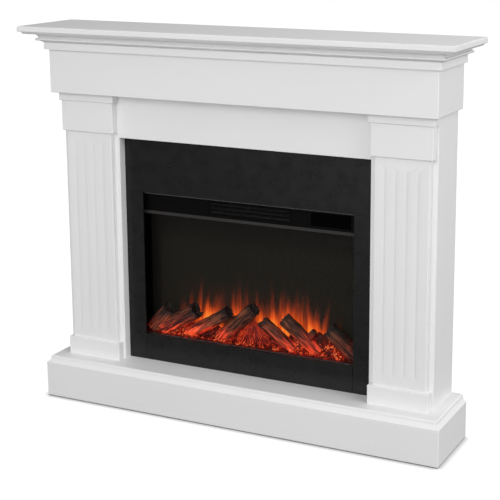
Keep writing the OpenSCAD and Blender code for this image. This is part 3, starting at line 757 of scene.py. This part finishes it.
def gauze_piece():
    """Fine woven wire behind the outlet's slots, which keeps fingers off the heater"""
    low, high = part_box("outlet_louvres")
    wire, mesh_size = 1.25*MM, 2.8*MM
    wide, tall = high.x - low.x - 8*MM, high.z - low.z - 5*MM
    bpy.ops.object.select_all(action="DESELECT")
    bpy.ops.mesh.primitive_grid_add(x_subdivisions=round(wide/mesh_size),
                                    y_subdivisions=round(tall/mesh_size), size=1)
    gauze = active("outlet_gauze")
    gauze.scale = (wide, tall, 1)
    gauze.rotation_euler.x = math.pi/2
    gauze.location = (0, high.y + 0.75*MM, (low.z + high.z)/2)
    settle(gauze)
    modify(gauze, "WIREFRAME", thickness=wire, use_replace=True, use_even_offset=False)
    outward(gauze)
    return gauze


class FIREPLACE_OT_controls(bpy.types.Operator):
    """Builds the control strip with its outlet, display window and trim bar"""
    bl_idname = "fireplace.controls"
    bl_label = "Controls"

    def execute(self, context):
        edge = chosen().insert.metal_edge
        strip = eased("control_strip", "control_strip_panel", 0.5*edge)
        hand_over(strip, "black_trim", inner_black(), "control_strip")
        strip.data.materials.append(finish("lip_coat", powder_finish, grey(0.10), 0.4))
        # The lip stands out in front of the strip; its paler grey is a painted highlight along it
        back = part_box("control_strip")[1].y
        for face in strip.data.polygons:
            if face.center.y < back - 3*MM:
                face.material_index = 1
        louvres = eased("outlet_louvres", "outlet_grille", 0.5*MM)
        hand_over(louvres, "black_trim", inner_black(), "outlet_louvres")
        hand_over(gauze_piece(), "black_metal",
                  finish("outlet_wire", powder_finish, grey(0.022), 0.45))
        window = eased("display_window", "display_pane", 0.4*MM)
        hand_over(window, "display", finish("display_gloss", gloss_finish, grey(0.0006), 0.08, 0.03),
                  "display_window")
        bar = eased("trim_bar", "trim_bar_length", edge)
        hand_over(bar, "grey_trim", trim_coat(), "trim_bar")
        return {"FINISHED"}


class FIREPLACE_OT_glass(bpy.types.Operator):
    """Gives the glass, the liners and the flame screen their finishes"""
    bl_idname = "fireplace.glass"
    bl_label = "Glass and screen"

    def execute(self, context):
        pane = eased("front_glass", "glass_pane", 0.4*MM)
        hand_over(pane, "glass", finish("clear_glass", pane_finish), "front_glass")
        coat_node("side_liners", inner_black())
        coat_node("flame_screen", finish("flame_screen_film", screen_finish, chosen().fire))
        return {"FINISHED"}


# ---------- the fire ----------

# A log is carved short and then drawn out this much, which makes the grooves run along it
LOG_STRETCH = 6.0


def attribute_of(piece, name, kind, values):
    """Writes one value or vector on each point of a piece"""
    key = "vector" if kind == "FLOAT_VECTOR" else "value"
    layer = piece.data.attributes.new(name, kind, "POINT")
    layer.data.foreach_set(key, values)


def carve(piece, part, size, depth):
    """Presses a cloud pattern into a piece"""
    texture = bpy.data.textures.new(piece.name + part, "CLOUDS")
    texture.noise_scale = size
    modify(piece, "DISPLACE", texture=texture, strength=depth, mid_level=0.5,
           texture_coords="LOCAL")


def billet(name, length, radius, deep, number):
    """A log standing on the origin, with grooved bark and hollowed ends"""
    short = length/LOG_STRETCH
    # Each log is carved in its own part of the clouds, so that no two are alike
    offset = Vector((0.31*number, 0.17*number, 0))
    bpy.ops.object.select_all(action="DESELECT")
    bpy.ops.mesh.primitive_cylinder_add(vertices=72, radius=radius, depth=short,
                                        end_fill_type="NGON",
                                        location=offset + Vector((0, 0, short/2)))
    piece = active(name)
    settle(piece)
    editing(piece)
    select_upright(piece)
    bpy.ops.mesh.subdivide(number_cuts=52)
    select_where(piece, "polygons", lambda f: len(f.vertices) > 4)
    for step in (0.08, 0.16, 0.22, 0.22):
        bpy.ops.mesh.inset(thickness=step*radius, depth=-0.02*radius)
    bpy.ops.mesh.poke()
    done()
    carve(piece, "_bark", 4.2*MM, deep)
    carve(piece, "_fine", 1.6*MM, deep*0.45)
    editing(piece)
    bpy.ops.mesh.select_all(action="SELECT")
    bpy.ops.transform.translate(value=-offset)
    bpy.ops.transform.resize(value=(1, 1, LOG_STRETCH), center_override=(0, 0, 0))
    done()
    carve(piece, "_lumps", 26*MM, 4*MM)
    return piece


def log_piece(name, start, end, radius, greyness, hotness, deep, number):
    """One moulded log in its place, charred at its top and glowing at its foot"""
    first, last = Vector(start), Vector(end)
    length = (last - first).length*MM
    rad = radius*1.05*MM
    piece = billet(name, length, rad, deep, number)
    if number == KNOTTED_LOG:
        knot(piece, KNOT_ALONG, rad)
    points = [v.co.copy() for v in piece.data.vertices]
    angle = math.atan2(last.x - first.x, last.y - first.y)
    middle_y = (BED_LOW.y + BED_HIGH.y)/2
    piece.matrix_world = (Matrix.Translation((first.x*MM, middle_y, BED_LOW.z + first.y*MM))
                          @ Matrix.Rotation(angle, 4, "Y"))
    settle(piece)
    top_first = first.y > last.y
    grain, char, glow, groove = [], [], [], []
    for local, vertex in zip(points, piece.data.vertices):
        along = local.z/length
        up = along if not top_first else 1 - along
        turn = math.atan2(-local.y, -local.x)  # 0 faces up, a quarter turn faces the room
        out = math.hypot(local.x, local.y)
        wave = noise.noise(Vector((local.x*60 + number*9, local.y*60, local.z*30)))
        end_char = max(0.0, (up - 0.86 + 0.05*wave)/0.1)
        back = max(0.0, -math.cos(turn - 1.1))
        crest = max(0.0, math.cos(turn) - 0.55)*(2.2 if top_first else 1.0)
        char.append(min(1.0, end_char + 0.85*back + crest + greyness*0.35 - 0.1))
        height = (vertex.co.z - BED_LOW.z)/MM
        low_glow = held(1 - (height - 12)/(52 if not top_first else 66))**1.3
        patchy = noise.noise(Vector((local.x*70 + number*5, local.y*70, local.z*22 + 3)))
        glow.append(held(hotness*low_glow*(0.75 + 1.5*patchy))*(0.25 if out < rad*0.8 else 1))
        groove.append(held((rad*1.02 - out)/deep) if out > rad*0.7 else 0.6)
        grain.extend((local.x + number*0.1, local.y, local.z))
    attribute_of(piece, "grain", "FLOAT_VECTOR", grain)
    for key, values in (("char", char), ("glow", glow), ("groove", groove)):
        attribute_of(piece, key, "FLOAT", values)
    cut_away(piece, ((0, 0, BED_LOW.z + 2*MM), (0, 0, -1)),
             ((0, BED_LOW.y + 0.4*MM, 0), (0, -1, 0)), ((0, BED_HIGH.y - 0.4*MM, 0), (0, 1, 0)),
             ((SCREEN_LOW.x + 1*MM, 0, 0), (-1, 0, 0)), ((SCREEN_HIGH.x - 1*MM, 0, 0), (1, 0, 0)))
    smooth(piece, 55, weighted=False)
    return piece


def knot(piece, along, rad):
    """The stub of a branch on the log's upper side"""
    editing(piece)
    centre = Vector((-rad, 0, along))
    select_where(piece, "polygons", lambda f: (f.center - centre).length < 8.5*MM)
    for step, scale in ((6, 0.92), (8, 0.95), (8, 0.9)):
        bpy.ops.mesh.extrude_region_move(TRANSFORM_OT_translate={"value": (-step*MM, 0, 0)})
        bpy.ops.transform.resize(value=(0.6, scale, scale))
    bpy.ops.mesh.inset(thickness=2*MM, depth=-1*MM)
    done()


class FIREPLACE_OT_logs(bpy.types.Operator):
    """Builds the seven moulded logs"""
    bl_idname = "fireplace.logs"
    bl_label = "Logs"

    def execute(self, context):
        settings = chosen().fire
        coat = finish("log_bark", bark_finish, settings)
        for number, (node, shape) in enumerate(LOGS.items(), 1):
            piece = log_piece("fire_" + node, *shape, settings.bark_depth, number)
            hand_over(piece, "logs", coat, node)
        return {"FINISHED"}


def bank(x, humps):
    """The highest of some smooth humps at x: humps are (middle, width, height)"""
    return max(height*math.exp(-((x - middle)/width)**2) for middle, width, height in humps)


def bed_height(x, y):
    """Height of the ember bed over the tray, in mm, at a point in mm counted from its front"""
    rise = 2 + 6*min(1.0, y/20)
    mound = bank(x, MOUNDS)*held(y/15)
    swell = 2.6*noise.noise(Vector((x/16, y/16, 3.1)))
    chunks = 2.6*abs(noise.noise(Vector((x/5.5, y/5.5, 7.7))))
    ridge = bank(x, RIDGES)*held((y - 16)/14)
    return max(1.5, rise + mound + swell + chunks + ridge)


def heat_at(x, y, z):
    """How hot the bed is at a point in mm, from 0 to 1"""
    ripple = 0.5 + 0.9*noise.noise(Vector((x/13, y/13, z/13)))
    edge = held((x + 306)/20)*held((272 - x)/14)
    cool = held(1 - (z - 28)/26, 0.15)
    return held((0.18 + 0.85*bank(x, HOT_SPOTS))*ripple*1.35*edge*cool, 0.03)


def bed_piece():
    """The lumpy ember bed, banked up behind the logs"""
    low, high = BED_LOW, BED_HIGH
    bpy.ops.object.select_all(action="DESELECT")
    bpy.ops.mesh.primitive_grid_add(x_subdivisions=420, y_subdivisions=26, size=1)
    bed = active("ember_bed_glow")
    bed.scale = (high.x - low.x - 1*MM, high.y - low.y - 0.6*MM, 1)
    bed.location = ((low.x + high.x)/2, (low.y + high.y)/2, low.z)
    settle(bed)
    editing(bed)
    bpy.ops.mesh.select_all(action="SELECT")
    bpy.ops.mesh.extrude_region_move(TRANSFORM_OT_translate={"value": (0, 0, 6*MM)})
    done()
    for vertex in bed.data.vertices:
        if vertex.co.z > low.z + 3*MM:
            vertex.co.z = low.z + MM*bed_height(vertex.co.x/MM, (vertex.co.y - low.y)/MM)
    outward(bed)
    glow = [0.45*heat_at(v.co.x/MM, (v.co.y - low.y)/MM, (v.co.z - low.z)/MM)
            for v in bed.data.vertices]
    attribute_of(bed, "glow", "FLOAT", glow)
    smooth(bed, 35, weighted=False)
    return bed


# The heap of strands in the middle: its height, reach, count of strands, and depth to width
HEAP_TALL = 68*MM
HEAP_REACH = 52*MM
HEAP_STRANDS = 44
HEAP_FLATNESS = 0.34


def heap_piece():
    """The heap of burnt-through wood in the middle, which has fallen into strands"""
    low, high = BED_LOW, BED_HIGH
    centre = Vector((-2*MM, (low.y + high.y)/2 + 5*MM, low.z + HEAP_TALL/2))
    bpy.ops.object.select_all(action="DESELECT")
    bpy.ops.mesh.primitive_cone_add(vertices=320, radius1=HEAP_REACH, radius2=3*MM,
                                    depth=HEAP_TALL, end_fill_type="NGON", location=centre)
    piece = active("ember_heap")
    settle(piece)
    editing(piece)
    select_upright(piece)
    bpy.ops.mesh.subdivide(number_cuts=44)
    done()
    glow = []
    for vertex in piece.data.vertices:
        off = vertex.co - centre
        up = (off.z + HEAP_TALL/2)/HEAP_TALL
        turn = math.atan2(off.y, off.x)
        east, north = math.cos(turn), math.sin(turn)
        sway = 1.4*noise.noise(Vector((east*1.3, north*1.3, up*3.0)))
        strand = math.sin(turn*HEAP_STRANDS + sway*4 + 2*up)
        fine = noise.noise(Vector((east*9, north*9, up*2.5)))
        lump = noise.noise(Vector((east*2, north*2, up*5)))
        swell = 1 + 0.42*math.sin(up*math.pi) + 0.04*strand + 0.07*fine + 0.14*lump
        vertex.co.x = centre.x + off.x*swell
        vertex.co.y = centre.y + off.y*swell*HEAP_FLATNESS
        thread = max(0.0, 0.5 + 0.5*strand)**2.5
        glow.append(held(0.12 + 0.75*thread*(0.8 + fine) + 0.25*lump - 0.3*max(0.0, up - 0.75),
                         0.05))
    attribute_of(piece, "glow", "FLOAT", glow)
    cut_away(piece, ((0, low.y + 0.6*MM, 0), (0, -1, 0)), ((0, high.y - 0.6*MM, 0), (0, 1, 0)))
    smooth(piece, 50, weighted=False)
    return piece


# How the loose crumbs differ: shares of the bed's heat that one may have, the share of them that
# are sparks, and a spark's greatest heat
CRUMB_HEATS = (0.05, 0.2, 0.5, 0.9, 1.3, 1.9)
SPARK_SHARE = 0.06
SPARK_HEAT = 1.3


def crumbs_piece(settings):
    """Loose crumbs strewn over the bed, more of them towards its front"""
    low, high = BED_LOW, BED_HIGH
    deep = high.y - low.y
    bpy.ops.object.select_all(action="DESELECT")
    bpy.ops.mesh.primitive_ico_sphere_add(subdivisions=1, radius=1)
    crumb = active("crumb_pattern")
    editing(crumb)
    bpy.ops.mesh.select_all(action="SELECT")
    bpy.ops.transform.resize(value=(1.25, 0.9, 0.75))
    done()
    shape = [v.co.copy() for v in crumb.data.vertices]
    facets = [tuple(f.vertices) for f in crumb.data.polygons]
    bpy.data.objects.remove(crumb)
    dice = random.Random(SEED)
    points, faces, glows = [], [], []
    for _ in range(settings.crumb_count):
        x = dice.uniform(low.x + 4*MM, high.x - 4*MM)
        y = low.y + 1.5*MM + (deep - 4*MM)*dice.random()**1.3
        size = settings.crumb_size*dice.uniform(0.55, 1.45)
        z = low.z + MM*bed_height(x/MM, (y - low.y)/MM) + size*0.25
        turn = Euler([dice.uniform(0, math.tau) for _ in range(3)]).to_matrix()
        middle = Vector((x, max(y, low.y + size*1.3), z))
        start = len(points)
        points.extend(turn @ p*size*dice.uniform(0.8, 1.2) + middle for p in shape)
        faces.extend(tuple(start + k for k in f) for f in facets)
        warmth = heat_at(x/MM, (y - low.y)/MM, (z - low.z)/MM)
        hot = warmth*dice.choice(CRUMB_HEATS)
        if dice.random() < SPARK_SHARE:
            hot = SPARK_HEAT*min(1.0, 0.35 + 1.5*warmth)
        glows.extend([hot]*len(shape))
    mesh = bpy.data.meshes.new("ember_crumbs")
    mesh.from_pydata(points, [], faces)
    crumbs = bpy.data.objects.new("ember_crumbs", mesh)
    bpy.context.collection.objects.link(crumbs)
    attribute_of(crumbs, "glow", "FLOAT", glows)
    return crumbs


class FIREPLACE_OT_embers(bpy.types.Operator):
    """Builds the ember bed, its heap and its loose crumbs"""
    bl_idname = "fireplace.embers"
    bl_label = "Embers"

    def execute(self, context):
        settings = chosen().fire
        coat = finish("ember_glow", ember_finish, settings, (1.0, 0.24, 0.07))
        fibre = finish("ember_fibre", ember_finish, settings, (1.0, 0.19, 0.045))
        hand_over(bed_piece(), "embers", coat, "ember_bed")
        hand_over(heap_piece(), "embers", fibre)
        hand_over(crumbs_piece(settings), "embers", coat)
        return {"FINISHED"}


# ---------- the back and the works inside ----------

# How far in the rear cover's screws are from its sides and from its ends
SCREW_SIDE_INSET = 6*MM
SCREW_END_INSET = 40*MM

# A pan head from its rim to its socket: each step's radius, and how far out it goes
SCREW_RADIUS = 3.4*MM
SCREW_STEPS = ((2.9*MM, 0.8*MM), (1.9*MM, 0.4*MM), (1.3*MM, 0), (1.0*MM, -0.8*MM))


def screw_heads():
    """Pan heads of the screws that hold the rear cover to the case"""
    low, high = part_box("rear_cover")
    corner = (low.x + SCREW_SIDE_INSET, high.y + 0.1*MM, low.z + SCREW_END_INSET)
    bpy.ops.object.select_all(action="DESELECT")
    bpy.ops.mesh.primitive_cylinder_add(vertices=18, radius=SCREW_RADIUS, depth=0.8*MM,
                                        end_fill_type="NGON", location=corner,
                                        rotation=(-math.pi/2, math.radians(10), 0))
    screws = active("cover_screws")
    settle(screws)
    editing(screws)
    select_where(screws, "polygons", lambda f: f.normal.y > 0.9)
    radius = SCREW_RADIUS
    for smaller, out in SCREW_STEPS:
        bpy.ops.mesh.extrude_region_move(TRANSFORM_OT_translate={"value": (0, out, 0)})
        bpy.ops.transform.resize(value=(smaller/radius, 1, smaller/radius), center_override=corner)
        radius = smaller
    done()
    modify(screws, "ARRAY", count=3, use_relative_offset=False, use_constant_offset=True,
           constant_offset_displace=(0, 0, (high.z - low.z)/2 - SCREW_END_INSET))
    modify(screws, "MIRROR", use_axis=(True, False, False))
    outward(screws)
    smooth(screws, 35, weighted=False)
    return screws


class FIREPLACE_OT_works(bpy.types.Operator):
    """Finishes the case, the flame works, the blower, the heater and the electrics"""
    bl_idname = "fireplace.works"
    bl_label = "Works"

    def execute(self, context):
        cover_coat = finish("cover_coat", powder_finish, grey(0.03), 0.5)
        hand_over(eased("rear_cover", "rear_cover_sheet", 0.3*MM), "black_metal", cover_coat,
                  "rear_cover")
        hand_over(screw_heads(), "steel", sheet_steel())
        for node in ("case_floor", "case_roof", "case_sides", "log_tray", "blower_housing",
                     "rotor_bearing"):
            coat_node(node, sheet_steel())
        coat_node("flame_rotor", finish("reflector_foil", metal_finish, (0.8, 0.8, 0.82), 0.15))
        coat_node("blower_wheel", finish("wheel_alloy", metal_finish, (0.6, 0.61, 0.63), 0.35,
                                         (0.2, 1, 1)))
        for node in ("rotor_motor", "blower_motor"):
            coat_node(node, finish("motor_can", metal_finish, (0.3, 0.3, 0.31), 0.4, (1, 1, 1), 60))
        coat_node("heater_element", finish("heater_fins", metal_finish, (0.55, 0.45, 0.3), 0.4,
                                           (4, 1, 0.3), 300))
        coat_node("thermal_cutout", finish("ceramic", gloss_finish, (0.68, 0.66, 0.58), 0.4))
        coat_node("control_board", finish("circuit_lacquer", board_finish))
        coat_node("led_strips", finish("light_strip", lamp_finish))
        housing = eased("switch_housing", "switch_frame", 0.35*MM)
        hand_over(housing, "black_plastic", black_plastic(), "switch_housing")
        rocker = eased("power_switch", "switch_rocker", 0.35*MM, 2, 25)
        hand_over(rocker, "red_plastic", finish("red_plastic", gloss_finish, (0.45, 0.01, 0.008),
                                                0.28), "power_switch", body="power_switch")
        bush = eased("power_inlet", "lead_bush", 0.5*MM, 2, 40)
        hand_over(bush, "black_plastic", black_plastic(), "power_inlet")
        return {"FINISHED"}


# ---------- the stage ----------

# The soft boxes: name, place, what they aim at, width, height, watts
SOFT_BOXES = (
    ("front_box", (0.0, -3.8, 1.75), (0, 0, 0.7), 2.4, 2.6, 69),
    ("right_box", (3.8, -0.8, 2.4), (0, 0, 0.9), 2.4, 2.4, 61),
)

# The camera: its place in metres, its turn and its dip in degrees, its lens, and the film's shift
CAMERA_PLACE = (1.5083, -2.8493, 1.3172)
CAMERA_TURN = 25.17
CAMERA_DIP = 11.56
CAMERA_LENS = 92.42
CAMERA_SHIFT = (-0.106, -0.15)


def soft_box(name, spot, aim, width, height, watts):
    """A large even light that points at a place"""
    data = bpy.data.lights.new(name, "AREA")
    data.shape = "RECTANGLE"
    data.size = width
    data.size_y = height
    data.energy = watts*chosen().stage.light
    lamp = bpy.data.objects.new(name, data)
    bpy.context.collection.objects.link(lamp)
    lamp.location = spot
    lamp.rotation_euler = (Vector(aim) - Vector(spot)).to_track_quat("-Z", "Y").to_euler()


def floor_piece():
    """A card that glows for the eye alone, so that it is white, with a painted contact shadow where
    the base is near
    """
    bpy.ops.object.select_all(action="DESELECT")
    bpy.ops.mesh.primitive_plane_add(size=30, location=(0, 0, 0))
    floor = active("studio_floor")
    coat = finish_named("floor_card", chosen().stage.floor_colour, 0.8, specular=0.1)
    fixed(coat, "Emission Color", (1, 1, 1, 1))
    eye = put(coat, "ShaderNodeLightPath")
    # Painted contact shadow: ambient occlusion near the base dims the eye-only glow
    near = put(coat, "ShaderNodeAmbientOcclusion", {"Distance": 0.022}, samples=16).node
    painted_shadow_factor = sums(coat, "POWER", near.outputs["AO"], 1.4)
    feed(coat, "Emission Strength", sums(coat, "MULTIPLY", sums(coat, "MULTIPLY", eye, 0.9),
                                         painted_shadow_factor))
    floor.data.materials.append(coat)
    return floor


def room():
    """The light of a pale room, darker to the left, which only its light and reflections show"""
    world = bpy.data.worlds.new("studio")
    bpy.context.scene.world = world
    world.use_nodes = True
    tree = world.node_tree
    way = tree.nodes.new("ShaderNodeTexCoord")
    split = put(world, "ShaderNodeSeparateXYZ", {"Vector": way.outputs["Generated"]}).node
    dome = ramp(world, split.outputs["Z"], (0.0, grey(1.0)), (0.12, grey(1.0)),
                (0.5, grey(0.62)), (1.0, grey(0.62)))
    side = between(world, split.outputs["X"], -0.62, -0.2, 0.15, 1.1)
    seen = put(world, "ShaderNodeLightPath")
    tree.links.new(dome, tree.nodes["Background"].inputs["Color"])
    tree.links.new(sums(world, "MAXIMUM", seen, side), tree.nodes["Background"].inputs["Strength"])


def camera_piece():
    """The camera, to the right of the front and looking down a little"""
    data = bpy.data.cameras.new("camera")
    data.sensor_width = 36
    data.lens = CAMERA_LENS
    data.shift_x, data.shift_y = CAMERA_SHIFT
    data.clip_start = 0.05
    data.clip_end = 100
    camera = bpy.data.objects.new("camera", data)
    bpy.context.collection.objects.link(camera)
    camera.location = CAMERA_PLACE
    turn = (Matrix.Rotation(math.radians(CAMERA_TURN), 3, "Z")
            @ Matrix.Rotation(math.radians(90 - CAMERA_DIP), 3, "X"))
    camera.rotation_euler = turn.to_euler()
    return camera


class FIREPLACE_OT_stage(bpy.types.Operator):
    """Sets the floor, the lights and the camera"""
    bl_idname = "fireplace.stage"
    bl_label = "Stage"

    def execute(self, context):
        floor_piece()
        room()
        for box in SOFT_BOXES:
            soft_box(*box)
        context.scene.camera = camera_piece()
        context.scene.view_settings.view_transform = "Standard"
        return {"FINISHED"}


class FIREPLACE_PT_panel(bpy.types.Panel):
    """Lists the pieces in the 3D view's sidebar"""
    bl_idname = "FIREPLACE_PT_panel"
    bl_label = "Electric Fireplace"
    bl_space_type = "VIEW_3D"
    bl_region_type = "UI"
    bl_category = "Fireplace"

    def draw(self, context):
        settings = context.scene.fireplace
        for group in (settings.mantel, settings.insert, settings.fire, settings.stage):
            box = self.layout.box()
            for key in group.__annotations__:
                box.prop(group, key)
        for operator in STEPS:
            self.layout.operator(operator.bl_idname)


STEPS = (FIREPLACE_OT_stage, FIREPLACE_OT_boards, FIREPLACE_OT_mouldings, FIREPLACE_OT_surround,
         FIREPLACE_OT_controls, FIREPLACE_OT_glass, FIREPLACE_OT_logs, FIREPLACE_OT_embers,
         FIREPLACE_OT_works)
CLASSES = (FIREPLACE_PG_mantel, FIREPLACE_PG_insert, FIREPLACE_PG_fire, FIREPLACE_PG_stage,
           FIREPLACE_PG_all, *STEPS, FIREPLACE_PT_panel)


def register():
    for each in CLASSES:
        bpy.utils.register_class(each)
    bpy.types.Scene.fireplace = bpy.props.PointerProperty(type=FIREPLACE_PG_all)


def unregister():
    del bpy.types.Scene.fireplace
    for each in reversed(CLASSES):
        bpy.utils.unregister_class(each)


def main():
    register()
    bpy.ops.fireplace.stage()
    bpy.ops.fireplace.boards()
    bpy.ops.fireplace.mouldings()
    bpy.ops.fireplace.surround()
    bpy.ops.fireplace.controls()
    bpy.ops.fireplace.glass()
    bpy.ops.fireplace.logs()
    bpy.ops.fireplace.embers()
    bpy.ops.fireplace.works()


if __name__ == "__main__":
    main()
